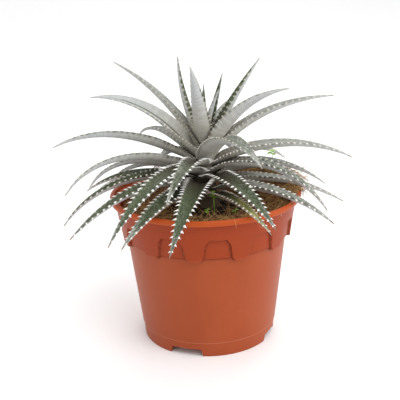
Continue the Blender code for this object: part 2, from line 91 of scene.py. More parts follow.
# Leaves, as in the part
CURVE_STEPS = 64
LEAF_THICKNESS = 0.0032
ROOT_THICKNESS = 0.0012
TIP_THICKNESS = 0.0008
CHANNEL = 0.50
ROOT_WIDTH_SHARE = 1.10
TAPER = 1.75
WRAP_LENGTH = 0.012

# Fine leaves
STATIONS = 110
TOP_COLUMNS = 14
UNDER_COLUMNS = 12
TOOTH_PITCH = 0.0039
TOOTH_CROWDING = 1.55
TOOTH_LENGTH = 0.0033
TOOTH_BASE = 0.0026

# Each leaf as in the part, then how silvery its upper side is (0 green to 1 silver), how orange its teeth are
# and how large they are
Leaf = namedtuple("Leaf", "name azimuth height rise end bend sweep roll length width silver orange bite")
LEAVES = (
    ("leaf_crown_1", 320, 0.1655, 79, 62, 1.0, 0, 0, 0.039, 0.0065, 0.50, 0.3, 0.50),
    ("leaf_crown_2", 86, 0.1654, 76, 64, 1.0, 0, 0, 0.040, 0.0062, 0.50, 0.3, 0.50),
    ("leaf_crown_3", 38, 0.1621, 70, 73, 1.0, 0, 0, 0.051, 0.0082, 0.05, 0.2, 0.60),
    ("leaf_crown_4", 144, 0.1616, 57, 90, 1.0, 0, 28, 0.066, 0.0122, 0.15, 0.4, 0.65),
    ("leaf_crown_5", 256, 0.1602, 73, 55, 1.0, 0, 0, 0.071, 0.0150, 0.35, 0.4, 0.55),
    ("leaf_crown_6", 18, 0.1570, 60, 53, 1.0, 0, -10, 0.077, 0.0145, 0.05, 0.4, 0.70),
    ("leaf_upper_1", 68, 0.1488, 50, -2, 0.9, 0, 0, 0.086, 0.0125, 0.60, 0.2, 0.50),
    ("leaf_upper_2", 339, 0.1512, 64, 11, 1.2, 0, -30, 0.085, 0.0165, 0.75, 0.3, 0.50),
    ("leaf_upper_3", 4, 0.1480, 54, 1, 0.8, 0, 0, 0.109, 0.0155, 0.75, 0.1, 0.75),
    ("leaf_upper_4", 149, 0.1570, 52, 22, 1.1, 0, 12, 0.100, 0.0116, 0.85, 0.5, 0.55),
    ("leaf_upper_5", 197, 0.1489, 53, -1, 1.7, 0, -38, 0.100, 0.0170, 1.00, 0.9, 0.60),
    ("leaf_upper_6", 140, 0.1480, 25, -46, 2.6, -8, 0, 0.074, 0.0120, 0.70, 0.6, 0.50),
    ("leaf_middle_1", 180, 0.1445, 29, -26, 1.5, 0, 24, 0.117, 0.0155, 0.45, 0.5, 0.50),
    ("leaf_middle_2", 197, 0.1388, 25, -56, 1.6, 0, 15, 0.114, 0.0152, 0.60, 0.4, 0.50),
    ("leaf_middle_3", 169, 0.1350, 19, -60, 1.6, 0, 8, 0.099, 0.0143, 0.45, 0.4, 0.55),
    ("leaf_middle_4", 293, 0.1440, 82, -24, 0.5, 0, 0, 0.104, 0.0175, 0.55, 0.1, 0.60),
    ("leaf_middle_5", 0, 0.1425, 25, -26, 1.1, 0, 4, 0.113, 0.0160, 0.80, 0.0, 0.85),
    ("leaf_middle_6", 252, 0.1422, 46, -38, 0.55, -6, 0, 0.079, 0.0148, 0.45, 0.1, 1.05),
    ("leaf_middle_7", 234, 0.1350, 51, -42, 0.45, 0, 0, 0.119, 0.0162, 0.15, 0.1, 1.15),
    ("leaf_middle_8", 343, 0.1375, 31, -56, 0.8, 0, 0, 0.103, 0.0150, 0.60, 0.0, 0.85),
    ("leaf_middle_9", 10, 0.1335, 30, -40, 0.75, 0, 0, 0.098, 0.0135, 0.70, 0.0, 0.75),
    ("leaf_lower_1", 164, 0.1260, 13, -37, 1.4, 0, -12, 0.097, 0.0130, 0.10, 0.3, 0.70),
    ("leaf_lower_2", 188, 0.1333, 7, -54, 1.4, 0, 0, 0.116, 0.0136, 0.12, 0.3, 0.85),
    ("leaf_lower_3", 214, 0.1250, 32, -37, 0.65, 0, 0, 0.117, 0.0146, 0.15, 0.1, 1.05),
    ("leaf_lower_4", 241, 0.1185, 36, -27, 0.55, -3, 0, 0.109, 0.0185, 0.30, 0.7, 1.05),
    ("leaf_lower_5", 262, 0.1288, 18, -37, 0.8, -12, 0, 0.109, 0.0183, 0.10, 0.0, 1.15),
    ("leaf_lower_6", 300, 0.1325, 23, -33, 0.6, 2, 0, 0.092, 0.0165, 0.22, 0.1, 1.05),
    ("leaf_lower_7", 331, 0.1240, 12, -32, 1.1, -4, 0, 0.103, 0.0140, 0.60, 0.0, 0.95),
    ("leaf_lower_8", 0, 0.1285, 5, -32, 1.2, 0, 0, 0.105, 0.0135, 0.72, 0.0, 0.85),
    ("leaf_lower_9", 295, 0.1195, 14, -20, 1.1, 0, 0, 0.096, 0.0100, 0.10, 0.5, 0.80),
    ("leaf_back_1", 94, 0.1450, 32, -50, 1.0, 0, 0, 0.092, 0.0150, 0.60, 0.2, 0.60),
    ("leaf_back_2", 73, 0.1410, 24, -48, 1.0, 0, 0, 0.096, 0.0138, 0.55, 0.2, 0.60),
    ("leaf_back_3", 117, 0.1388, 20, -48, 1.0, 0, 0, 0.096, 0.0148, 0.50, 0.3, 0.60),
    ("leaf_back_4", 45, 0.1372, 22, -36, 1.0, 0, 0, 0.097, 0.0130, 0.65, 0.2, 0.60),
    ("leaf_back_5", 30, 0.1315, 12, -38, 1.0, 0, 0, 0.100, 0.0130, 0.55, 0.2, 0.60),
    ("leaf_back_6", 142, 0.1318, 16, -42, 1.0, 0, 0, 0.105, 0.0135, 0.40, 0.3, 0.60),
    ("leaf_back_7", 92, 0.1335, 16, -42, 1.0, 0, 0, 0.105, 0.0150, 0.40, 0.2, 0.60),
    ("leaf_back_8", 146, 0.1218, 14, -32, 1.0, 0, 0, 0.104, 0.0130, 0.25, 0.3, 0.60),
    ("leaf_back_9", 63, 0.1275, 14, -34, 1.0, 0, 0, 0.102, 0.0140, 0.35, 0.2, 0.60),
    ("leaf_back_10", 118, 0.1255, 14, -34, 1.0, 0, 0, 0.102, 0.0145, 0.30, 0.3, 0.60),
)
DYING_LEAF = "leaf_lower_9"

OFFSET_PLACE = (0.0455, 0.0325)
OFFSET_RADIUS = 0.0022
GOLDEN_ANGLE = 137.5
SEEDLINGS = (
    ("seedling_1", (0.0550, 0.0205), 0.0250, 0.0024, 4),
    ("seedling_2", (0.0010, -0.0280), 0.0035, 0.0017, 3),
    ("seedling_3", (0.0225, -0.0285), 0.0030, 0.0015, 2),
)
STALK_PLACE = (0.0177, -0.0262)
STALK_HEIGHT = 0.0160

# Loose strands seen one by one in the photo: radius, shade and points
LOOSE = (
    (0.00045, 0.35, ((0.0640, 0.0285, 0.1215), (0.0715, 0.0300, 0.1245), (0.0780, 0.0300, 0.1262), (0.0845, 0.0300, 0.1286))),
    (0.00030, 0.50, ((0.0600, 0.0240, 0.1222), (0.0690, 0.0215, 0.1242), (0.0770, 0.0180, 0.1240), (0.0815, 0.0150, 0.1220))),
    (0.00022, 0.80, ((0.0740, 0.0120, 0.1212), (0.0700, 0.0020, 0.1245), (0.0600, -0.0140, 0.1250), (0.0467, -0.0300, 0.1195))),
    (0.00014, 0.75, ((0.0180, -0.0620, 0.1130), (0.0190, -0.0680, 0.1212), (0.0204, -0.0760, 0.1206), (0.0212, -0.0775, 0.1150))),
    (0.00014, 0.70, ((0.0270, -0.0600, 0.1120), (0.0300, -0.0690, 0.1214), (0.0340, -0.0700, 0.1196), (0.0400, -0.0712, 0.1118))),
    (0.00012, 0.60, ((0.0360, -0.0540, 0.1120), (0.0420, -0.0620, 0.1216), (0.0470, -0.0650, 0.1170), (0.0460, -0.0668, 0.1090))),
)
SPRIG_PLACE = (0.0062, -0.0272)


def linear(level):
    """An sRGB level of 0 to 255 as linear light."""
    share = level / 255
    return share / 12.92 if share <= 0.04045 else ((share + 0.055) / 1.055) ** 2.4


def rgb(red, green, blue):
    return (linear(red), linear(green), linear(blue), 1.0)


class Look:
    """A material's node tree, with one short method for each kind of node."""

    def __init__(self, name):
        self.material = bpy.data.materials.new(name)
        self.material.use_nodes = True
        self.tree = self.material.node_tree
        self.shader = self.tree.nodes["Principled BSDF"]

    def node(self, kind, **settings):
        made = self.tree.nodes.new("ShaderNode" + kind)
        for key, value in settings.items():
            setattr(made, key, value)
        return made

    def put(self, socket, value):
        if isinstance(value, bpy.types.NodeSocket):
            self.tree.links.new(value, socket)
        elif value is not None:
            gray = socket.type == "RGBA" and isinstance(value, (int, float))
            socket.default_value = (value, value, value, 1.0) if gray else value

    def attribute(self, name, vector=False):
        made = self.node("Attribute", attribute_name=name)
        return made.outputs["Vector" if vector else "Fac"]

    def place(self):
        return self.node("TexCoord").outputs["Object"]

    def noise(self, vector, scale, detail=4.0, rough=0.55, stretch=None):
        if stretch:
            mapping = self.node("Mapping")
            self.put(mapping.inputs["Vector"], vector)
            mapping.inputs["Scale"].default_value = stretch
            vector = mapping.outputs["Vector"]
        made = self.node("TexNoise")
        self.put(made.inputs["Vector"], vector)
        made.inputs["Scale"].default_value = scale
        made.inputs["Detail"].default_value = detail
        made.inputs["Roughness"].default_value = rough
        return made.outputs["Fac"]

    def ramp(self, value, *stops):
        made = self.node("ValToRGB")
        self.put(made.inputs["Fac"], value)
        elements = made.color_ramp.elements
        while len(elements) < len(stops):
            elements.new(0.5)
        for element, (position, level) in zip(elements, stops):
            element.position = position
            element.color = (level, level, level, 1.0) if isinstance(level, (int, float)) else level
        return made.outputs["Color"]

    def span(self, value, low, high, start=0.0, end=1.0):
        made = self.node("MapRange", interpolation_type="SMOOTHSTEP")
        self.put(made.inputs["Value"], value)
        made.inputs["From Min"].default_value = low
        made.inputs["From Max"].default_value = high
        made.inputs["To Min"].default_value = start
        made.inputs["To Max"].default_value = end
        return made.outputs["Result"]

    def sum(self, operation, first, second=None):
        made = self.node("Math", operation=operation)
        self.put(made.inputs[0], first)
        self.put(made.inputs[1], second)
        return made.outputs[0]

    def mix(self, share, first, second, blend="MIX"):
        made = self.node("Mix", data_type="RGBA", blend_type=blend)
        self.put(made.inputs[0], share)
        self.put(made.inputs[6], first)
        self.put(made.inputs[7], second)
        return made.outputs[2]

    def bump(self, height, strength, distance, under=None):
        made = self.node("Bump")
        made.inputs["Strength"].default_value = strength
        made.inputs["Distance"].default_value = distance
        self.put(made.inputs["Height"], height)
        self.put(made.inputs["Normal"], under)
        return made.outputs["Normal"]

    def finish(self, color, rough, normal=None, **values):
        self.put(self.shader.inputs["Base Color"], color)
        self.put(self.shader.inputs["Roughness"], rough)
        self.put(self.shader.inputs["Normal"], normal)
        for key, value in values.items():
            self.shader.inputs[key.replace("_", " ")].default_value = value
        return self.material


def leaf_look(name, dying=False):
    """Green flesh under silver scurf, which covers the underside and, on some leaves, the upper side too."""
    look = Look(name)
    share = look.attribute("share")
    across = look.attribute("across")
    under = look.attribute("under")
    between = look.attribute("between")
    silver = look.attribute("silver")
    orange = look.attribute("orange")
    white = look.attribute("white")
    tooth = look.attribute("tooth")
    place = look.attribute("place", vector=True)

    streaks = look.noise(place, 1.0, 5.0, 0.6, stretch=(60, 1500, 1))
    grain = look.noise(place, 1.0, 3.0, 0.6, stretch=(1500, 1500, 1))
    blotch = look.noise(place, 1.0, 3.0, 0.5, stretch=(60, 160, 1))
    speck = look.noise(place, 1.0, 4.0, 0.7, stretch=(420, 700, 1))
    imprint = look.noise(place, 1.0, 2.0, 0.5, stretch=(700, 90, 1))

    if dying:
        flesh = look.mix(blotch, rgb(54, 66, 30), rgb(132, 132, 72))
        flesh = look.mix(look.span(streaks, 0.47, 0.64, 0.0, 0.75), flesh, rgb(196, 184, 122))
        flesh = look.mix(look.span(speck, 0.58, 0.72), flesh, rgb(104, 72, 44))
    else:
        flesh = look.mix(blotch, rgb(36, 45, 20), rgb(60, 74, 36))
        flesh = look.mix(look.span(speck, 0.45, 0.60, 0.0, 0.55), flesh, rgb(98, 110, 72))
        flesh = look.mix(look.span(grain, 0.54, 0.64, 0.0, 0.30), flesh, rgb(150, 154, 140))
    root = look.span(share, 0.08, 0.55, 1.0, 0.0)
    flesh = look.mix(look.sum("MULTIPLY", root, 0.85), flesh, rgb(66, 54, 48))
    old = look.sum("MULTIPLY", look.span(share, 0.0, 0.30, 0.85, 0.0), look.span(white, 0.1, 0.6))

    pale = look.mix(look.span(share, 0.10, 0.75), rgb(171, 168, 156), rgb(185, 187, 189))
    scurf = look.mix(look.span(streaks, 0.40, 0.65, 0.0, 0.30), pale, rgb(160, 158, 148))
    scurf = look.mix(old, scurf, rgb(104, 92, 80))
    scurf = look.mix(look.span(imprint, 0.50, 0.64, 0.0, 0.18), scurf, rgb(220, 221, 222))
    scurf = look.mix(look.span(imprint, 0.36, 0.50, 0.12, 0.0), scurf, rgb(130, 128, 116))
    grey = look.mix(look.span(share, 0.05, 0.45), rgb(144, 135, 121), rgb(160, 162, 156))
    grey = look.mix(look.span(speck, 0.42, 0.64, 0.0, 0.45), grey, rgb(196, 198, 195))
    grey = look.mix(look.span(streaks, 0.45, 0.65, 0.0, 0.35), grey, rgb(132, 132, 116))
    grey = look.mix(look.span(silver, 0.85, 1.0, 0.0, 0.80), grey, scurf)

    edge = look.sum("ABSOLUTE", across)
    # Between the teeth near the margins the underside shows dark green: partly thinner scurf, partly painted shade of
    # the scalloped margin
    thin_scurf_and_shade = look.sum("MULTIPLY", look.span(edge, 0.82, 0.99), look.span(between, 0.45, 0.85))
    cover_under = look.sum("SUBTRACT", 0.95, look.sum("MULTIPLY", thin_scurf_and_shade, 0.62))
    cover_top = look.sum("ADD", look.sum("MULTIPLY", silver, 0.95), -0.06)
    cover_top = look.sum("ADD", cover_top, look.span(share, 0.68, 1.0, 0.0, 0.50))
    line = look.sum("MULTIPLY", look.span(edge, 0.0, 0.16, 0.55, 0.0), look.span(silver, 0.90, 0.98))
    groove = look.sum("ADD", look.span(edge, 0.10, 0.60, 0.20, 0.0), line)
    cover_top = look.sum("SUBTRACT", cover_top, groove)
    patch = look.sum("ADD", look.sum("MULTIPLY", blotch, 0.7), look.sum("MULTIPLY", speck, 1.3))
    patch = look.sum("MULTIPLY", look.sum("SUBTRACT", patch, 1.0), look.span(silver, 0.55, 1.0, 1.0, 0.35))
    cover = look.mix(under, cover_top, cover_under)
    cover = look.span(look.sum("ADD", cover, patch), 0.10, 0.90)
    color = look.mix(cover, flesh, look.mix(under, grey, scurf))
    foot = look.sum("MULTIPLY", look.span(edge, 0.74, 0.97), look.span(between, 0.10, 0.40, 0.65, 0.0))
    color = look.mix(foot, color, rgb(198, 197, 187))

    dry = look.sum("MULTIPLY", look.span(share, 0.955, 0.992), look.span(white, 0.0, 0.8, 0.20, 0.90))
    color = look.mix(dry, color, rgb(134, 98, 66))
    is_tooth = look.span(tooth, 0.02, 0.10)
    ivory = look.mix(white, rgb(216, 212, 196), rgb(253, 252, 248))
    point = look.sum("MULTIPLY", look.span(tooth, 0.40, 0.90), look.span(orange, 0.05, 0.6, 0.10, 1.0))
    ivory = look.mix(point, ivory, rgb(196, 142, 72))
    color = look.mix(is_tooth, color, ivory)

    height = look.sum("ADD", look.sum("MULTIPLY", streaks, 0.5), look.sum("MULTIPLY", grain, 0.3))
    height = look.sum("ADD", height, look.sum("MULTIPLY", imprint, look.sum("MULTIPLY", under, 0.35)))
    normal = look.bump(height, 0.30, 0.0003)
    rough = look.mix(cover, 0.46, 0.74)
    rough = look.mix(is_tooth, rough, 0.40)
    return look.finish(color, rough, normal)


def pot_look():
    """Moulded orange plastic: warmer on the rim, faint flow marks, painted shade in the creases, a painted highlight
    along the foot line, scuffs and dust.
    """
    look = Look("pot_plastic")
    place = look.place()
    height = look.node("SeparateXYZ")
    look.put(height.inputs[0], place)
    level = height.outputs["Z"]
    cloud = look.noise(place, 26, 5.0, 0.6)
    flow = look.noise(place, 1.0, 4.0, 0.6, stretch=(30, 30, 16))
    scuff = look.noise(place, 1.0, 6.0, 0.7, stretch=(50, 50, 300))
    spots = look.noise(place, 240, 2.0, 0.5)
    grain = look.noise(place, 900, 3.0, 0.6)

    wall = look.mix(cloud, rgb(148, 62, 28), rgb(162, 76, 38))
    wall = look.mix(look.span(flow, 0.4, 0.7, 0.0, 0.30), wall, rgb(166, 80, 44))
    collar = look.mix(cloud, rgb(142, 50, 10), rgb(156, 60, 18))
    rim = look.mix(cloud, rgb(166, 66, 14), rgb(178, 76, 22))
    color = look.mix(look.span(level, 0.0835, 0.0875), wall, collar)
    color = look.mix(look.span(level, 0.1135, 0.1160), color, rim)
    # Painted shade: dark brown along the creases under the collar's steps, window edges and tabs
    color = look.mix(look.attribute("crease_shade"), color, rgb(84, 34, 16))
    # Painted highlight: a thin lighter line along the step at the foot line
    line = look.sum("ABSOLUTE", look.sum("SUBTRACT", level, FOOT_LINE_HEIGHT))
    color = look.mix(look.span(line, 0.0, 0.0006, 0.5, 0.0), color, rgb(206, 140, 112))
    dust = look.span(scuff, 0.62, 0.80, 0.0, 0.20)
    color = look.mix(dust, color, rgb(198, 130, 100))
    color = look.mix(look.span(spots, 0.76, 0.80, 0.0, 0.5), color, rgb(214, 168, 140))
    rough = look.mix(cloud, 0.38, 0.48)
    rough = look.mix(dust, rough, 0.60)
    normal = look.bump(grain, 0.10, 0.0002)
    normal = look.bump(flow, 0.06, 0.0006, normal)
    return look.finish(color, rough, normal, Specular_IOR_Level=0.22)


def soil_look():
    """Coir and peat: crumbs darkened by painted shade by the stem, dry straw-coloured strands further out, a little
    moss.
    """
    look = Look("soil_coir")
    place = look.place()
    crumbs = look.noise(place, 420, 6.0, 0.65)
    strands = look.noise(place, 1.0, 5.0, 0.7, stretch=(240, 900, 400))
    cross = look.noise(place, 1.0, 5.0, 0.7, stretch=(1000, 260, 500))
    patches = look.noise(place, 60, 3.0, 0.5)
    axes = look.node("SeparateXYZ")
    look.put(axes.inputs[0], place)
    squares = look.sum("ADD", look.sum("POWER", axes.outputs["X"], 2.0), look.sum("POWER", axes.outputs["Y"], 2.0))
    # Painted shade: towards the stem, under the plant, the soil turns nearly black; dry marks the unshaded soil
    # further out
    dry = look.span(look.sum("SQRT", squares), 0.024, 0.050)
    color = look.ramp(crumbs, (0.30, rgb(44, 28, 14)), (0.48, rgb(112, 70, 34)), (0.66, rgb(176, 124, 68)))
    color = look.mix(look.span(strands, 0.55, 0.68, 0.0, 0.8), color, rgb(196, 146, 84))
    color = look.mix(look.span(cross, 0.58, 0.70, 0.0, 0.7), color, rgb(176, 124, 68))
    moss = look.sum("MULTIPLY", look.span(patches, 0.60, 0.72), look.span(crumbs, 0.4, 0.6))
    color = look.mix(moss, color, rgb(92, 104, 44))
    shaded_crumbs = look.ramp(crumbs, (0.35, rgb(14, 10, 6)), (0.65, rgb(58, 40, 22)))
    color = look.mix(dry, shaded_crumbs, color)
    height = look.sum("ADD", crumbs, look.sum("MULTIPLY", strands, 0.7))
    normal = look.bump(height, 0.9, 0.0015)
    rough = look.mix(crumbs, 0.98, 0.82)
    return look.finish(color, rough, normal)


def fibre_look(name, dark, pale):
    """Dry fibre: each strand has its own shade, with darker stretches along it."""
    look = Look(name)
    shade = look.attribute("shade")
    place = look.place()
    mottle = look.noise(place, 500, 3.0, 0.6)
    color = look.mix(shade, dark, pale)
    color = look.mix(look.span(mottle, 0.5, 0.75, 0.0, 0.5), color, dark)
    rough = look.mix(mottle, 0.72, 0.90)
    return look.finish(color, rough, look.bump(mottle, 0.3, 0.0002))


def weed_look():
    """Soft yellow-green seedling leaves with paler veins."""
    look = Look("seedling_leaf")
    place = look.place()
    mottle = look.noise(place, 700, 3.0, 0.6)
    broad = look.noise(place, 120, 2.0, 0.5)
    color = look.mix(broad, rgb(104, 168, 44), rgb(164, 204, 82))
    color = look.mix(look.span(mottle, 0.5, 0.75, 0.0, 0.5), color, rgb(188, 214, 118))
    rough = look.mix(mottle, 0.42, 0.58)
    return look.finish(color, rough, look.bump(mottle, 0.25, 0.0002), Subsurface_Weight=0.1, Subsurface_Scale=0.001)


def stem_look():
    """Pale leaf bases round the upper stem, and old brown ones below them."""
    look = Look("stem_bark")
    place = look.place()
    axes = look.node("SeparateXYZ")
    look.put(axes.inputs[0], place)
    bands = look.noise(place, 1.0, 4.0, 0.6, stretch=(260, 260, 1200))
    old = look.mix(bands, rgb(40, 32, 26), rgb(112, 96, 74))
    fresh = look.mix(bands, rgb(120, 116, 98), rgb(186, 183, 170))
    color = look.mix(look.span(axes.outputs["Z"], 0.132, 0.146), old, fresh)
    rough = look.mix(bands, 0.95, 0.75)
    return look.finish(color, rough, look.bump(bands, 0.7, 0.0008))


def mesh_object(name, points, faces, material, smooth=50):
    """An object from points and faces, shaded smooth between its sharp edges."""
    mesh = bpy.data.meshes.new(name)
    mesh.from_pydata([tuple(p) for p in points], [], faces)
    mesh.validate()
    mesh.materials.append(material)
    mesh.shade_smooth()
    if smooth < 180:
        mesh.set_sharp_from_angle(angle=math.radians(smooth))
    thing = bpy.data.objects.new(name, mesh)
    bpy.context.scene.collection.objects.link(thing)
    return thing


def outward(thing):
    """Turns a closed mesh's faces outwards."""
    bm = bmesh.new()
    bm.from_mesh(thing.data)
    if bm.calc_volume(signed=True) < 0:
        bmesh.ops.reverse_faces(bm, faces=bm.faces)
    bm.to_mesh(thing.data)
    bm.free()


def stand_for(thing, node):
    """The piece is shown in place of a solid, which is hidden, and hangs on the root body."""
    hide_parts(node)
    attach(thing, "root")


def stem_radius(height):
    """The stem tapers from the soil to the crown."""
    share = min(max((height - SOIL_HEIGHT) / (STEM_TOP - SOIL_HEIGHT), 0.0), 1.0)
    return STEM_SOIL_RADIUS + share * (STEM_TOP_RADIUS - STEM_SOIL_RADIUS)


def root_radius(height):
    """Distance of a leaf's root from the axis."""
    return stem_radius(height - 0.0030) + 2 * GAP


def make_curve(leaf, radius, centre=(0.0, 0.0)):
    """Points, side vectors and normals along a leaf's middle line, at even steps from root to tip."""
    start = math.radians(leaf.azimuth)
    root = np.array([centre[0] + radius * math.cos(start), centre[1] + radius * math.sin(start), leaf.height])

    def heading(share):
        lift = np.radians(leaf.rise + (leaf.end - leaf.rise) * share**leaf.bend)
        turn = np.radians(leaf.azimuth + leaf.sweep * share)
        along = np.stack([np.cos(lift) * np.cos(turn), np.cos(lift) * np.sin(turn), np.sin(lift)], 1)
        side = np.stack([-np.sin(turn), np.cos(turn), np.zeros_like(turn)], 1)
        return along, side

    middles = (np.arange(CURVE_STEPS) + 0.5) / CURVE_STEPS
    points = root + np.vstack([np.zeros(3), np.cumsum(heading(middles)[0] * leaf.length / CURVE_STEPS, 0)])
    shares = np.linspace(0, 1, CURVE_STEPS + 1)
    along, side = heading(shares)
    normal = np.cross(along, side)
    roll = math.radians(leaf.roll) * np.minimum(shares / 0.3, 1.0)[:, None]
    sides = side * np.cos(roll) + normal * np.sin(roll)
    normals = normal * np.cos(roll) - side * np.sin(roll)
    return radius, shares, points, sides, normals


def swell(share, start, full):
    """From start at the root to 1 where the blade is full, with an even slope."""
    return start + (1 - start) * np.minimum(1.0, share / full)


def half_width(leaf, share):
    """Half of the blade's width."""
    return leaf.width / 2 * swell(share, ROOT_WIDTH_SHARE, 0.18) * (1 - share**TAPER)


def along_track(track, shares, share):
    return np.stack([np.interp(share, shares, track[:, k]) for k in range(3)], 1)


def leaf_points(leaf, curve, share, across, drop, reach=0.0):
    """Points on the blade for arrays of shares and places across it."""
    radius, shares, *tracks = curve
    centre, side, normal = (along_track(track, shares, share) for track in tracks)
    half = half_width(leaf, share)
    offset = half * across + reach * np.sign(across)
    free = side * offset[:, None] + normal * (CHANNEL * half * across * across)[:, None]
    azimuth = math.radians(leaf.azimuth)
    away = np.array([math.cos(azimuth), math.sin(azimuth), 0.0])
    tangent = np.array([-math.sin(azimuth), math.cos(azimuth), 0.0])
    turn = np.clip(offset / radius, -1.9, 1.9)[:, None]
    wrapped = tangent * radius * np.sin(turn) - away * radius * (1 - np.cos(turn))
    ease = np.minimum(1.0, share * leaf.length / min(WRAP_LENGTH, 0.3 * leaf.length))
    ease = (ease * ease * (3 - 2 * ease))[:, None]
    return centre + wrapped * (1 - ease) + free * ease - normal * np.asarray(drop)[..., None]


def thickness(leaf, share):
    """Thickness of the blade's middle."""
    full = min(LEAF_THICKNESS, 0.3 * leaf.width)
    root = swell(share, ROOT_THICKNESS / LEAF_THICKNESS, 0.22)
    return TIP_THICKNESS + (full * root - TIP_THICKNESS) * (1 - share) ** 0.8


def tooth_places(leaf, draw):
    """Shares of the teeth along one margin: crowded near the root."""
    count = max(4, round((leaf.length - 0.004) / TOOTH_PITCH))
    steps = [(k + 0.5 + draw.uniform(-0.14, 0.14)) / count for k in range(count)]
    return [0.035 + 0.945 * step**TOOTH_CROWDING for step in steps]


def tooth_mesh(leaf, curve, place, hand, draw):
    """A flat hooked tooth: rings of six points from inside the margin to its tip, and a value along it."""
    size = (1 - place) ** 0.30 * min(1.0, leaf.width / 0.010) * draw.uniform(0.86, 1.10) * leaf.bite
    length = TOOTH_LENGTH * size
    base = TOOTH_BASE * size * (0.55 + 0.6 * min(1.0, place / 0.6))
    share = np.array([place])
    hands = np.array([float(hand)])
    root = leaf_points(leaf, curve, share, hands, np.array([0.0002]))[0]
    outer = leaf_points(leaf, curve, share, hands, np.array([0.0002]), 0.001)[0]
    ahead = leaf_points(leaf, curve, share + 0.004, hands, np.array([0.0002]))[0]
    out = (outer - root) / np.linalg.norm(outer - root)
    along = (ahead - root) / np.linalg.norm(ahead - root)
    out = out - along * np.dot(out, along)
    out = out / np.linalg.norm(out)
    up = np.cross(along, out)
    lean = (-0.30 + 1.0 * min(1.0, place / 0.6)) * length
    points = []
    values = []
    for step in (-0.22, 0.0, 0.25, 0.5, 0.75):
        taper = max(0.0, 1 - max(step, 0.0)) ** 1.35
        centre = root + out * length * step + along * lean * max(step, 0.0) ** 1.7
        for corner in range(6):
            angle = math.pi / 3 * corner
            spread = along * math.cos(angle) * base / 2 * taper
            points.append(centre + spread + up * math.sin(angle) * 0.00042 * (0.35 + 0.65 * taper))
            values.append(max(step, 0.0) * 0.95 + 0.05)
    points.append(root + out * length + along * lean)
    values.append(1.0)
    faces = []
    for ring in range(4):
        for corner in range(6):
            a = ring * 6 + corner
            b = ring * 6 + (corner + 1) % 6
            faces.append((a, b, b + 6, a + 6))
    faces += [(24 + corner, 24 + (corner + 1) % 6, 30) for corner in range(6)]
    faces.append(tuple(range(5, -1, -1)))
    return points, values, faces


def make_leaf(leaf, curve, material, seed, stations=STATIONS):
    """A fine blade with scalloped, toothed margins, and the values that its look reads."""
    draw = random.Random(seed)
    margins = {hand: tooth_places(leaf, draw) for hand in (1, -1)}
    share_rows = 0.998 * (np.arange(stations) / (stations - 1))
    top = np.linspace(-1, 1, TOP_COLUMNS + 1)
    under = np.linspace(1, -1, UNDER_COLUMNS + 1)[1:-1]
    ring = np.concatenate([top, under])
    is_under = np.concatenate([np.zeros(len(top)), np.ones(len(under))])
    width = len(ring)
    share = np.repeat(share_rows, width)
    across = np.tile(ring, stations)
    below = np.tile(is_under, stations)
    between = np.zeros_like(share)
    for hand, places in margins.items():
        gap = np.min(np.abs(share[:, None] - np.array(places)[None, :]), 1) * leaf.length
        reach = TOOTH_PITCH * TOOTH_CROWDING * np.maximum(share, 0.02) ** 0.35 / 2
        wave = np.clip(gap / reach, 0, 1)
        between = np.where(across * hand > 0, wave, between)
    scallop = np.where(np.abs(across) > 0.99, 0.0002 * (0.5 - between) * (1 - share), 0.0)
    drop = below * thickness(leaf, share) * (1 - across**4) ** 0.7
    ripple = np.sin(across * 17) * 0.00005 * (1 - share)
    points = list(leaf_points(leaf, curve, share, across, drop + ripple, scallop))
    faces = []
    for row in range(stations - 1):
        for column in range(width):
            a = row * width + column
            b = row * width + (column + 1) % width
            faces.append((a, b, b + width, a + width))
    tip = len(points)
    points.append(leaf_points(leaf, curve, np.array([1.0]), np.array([0.0]), np.array([TIP_THICKNESS / 2]))[0])
    last = (stations - 1) * width
    faces += [(last + column, last + (column + 1) % width, tip) for column in range(width)]
    faces.append(tuple(range(width - 1, -1, -1)))
    half = half_width(leaf, share)
    values = {
        "share": list(share) + [1.0],
        "across": list(across) + [0.0],
        "under": list(below) + [0.5],
        "between": list(between) + [0.0],
        "tooth": [0.0] * (tip + 1),
    }
    spots = [(s * leaf.length, a * h, seed * 0.137) for s, a, h in zip(share, across, half)]
    spots.append((leaf.length, 0.0, seed * 0.137))
    for hand, places in margins.items():
        for place in places:
            more, along, sides = tooth_mesh(leaf, curve, place, hand, draw)
            start = len(points)
            points += more
            faces += [tuple(start + i for i in face) for face in sides]
            values["tooth"] += along
            values["share"] += [place] * len(more)
            values["across"] += [float(hand)] * len(more)
            values["under"] += [0.5] * len(more)
            values["between"] += [0.0] * len(more)
            spots += [(place * leaf.length, hand * 0.004, seed * 0.137)] * len(more)
    thing = mesh_object("look_" + leaf.name, points, faces, material, 55)
    outward(thing)
    values["silver"] = [leaf.silver] * len(points)
    values["white"] = [min(1.0, max(0.0, (leaf.bite - 0.6) / 0.5))] * len(points)
    values["orange"] = [min(1.0, max(0.0, leaf.orange + draw.uniform(-0.1, 0.1)))] * len(points)
    for name, levels in values.items():
        layer = thing.data.attributes.new(name, "FLOAT", "POINT")
        layer.data.foreach_set("value", np.array(levels, np.float32))
    layer = thing.data.attributes.new("place", "FLOAT_VECTOR", "POINT")
    layer.data.foreach_set("vector", np.array(spots, np.float32).ravel())
    return thing


def make_leaves():
    green = leaf_look("leaf_scurf")
    yellow = leaf_look("leaf_dying", dying=True)
    for index, row in enumerate(LEAVES):
        leaf = Leaf(*row)
        dying = leaf.name == DYING_LEAF
        curve = make_curve(leaf, root_radius(leaf.height))
        thing = make_leaf(leaf, curve, yellow if dying else green, 11 + index)
        stand_for(thing, leaf.name)
    return green


def join(name, things):
    """One object from several, keeping their attributes."""
    with bpy.context.temp_override(active_object=things[0], selected_editable_objects=things):
        bpy.ops.object.join()
    things[0].name = name
    things[0].data.name = name
    return things[0]


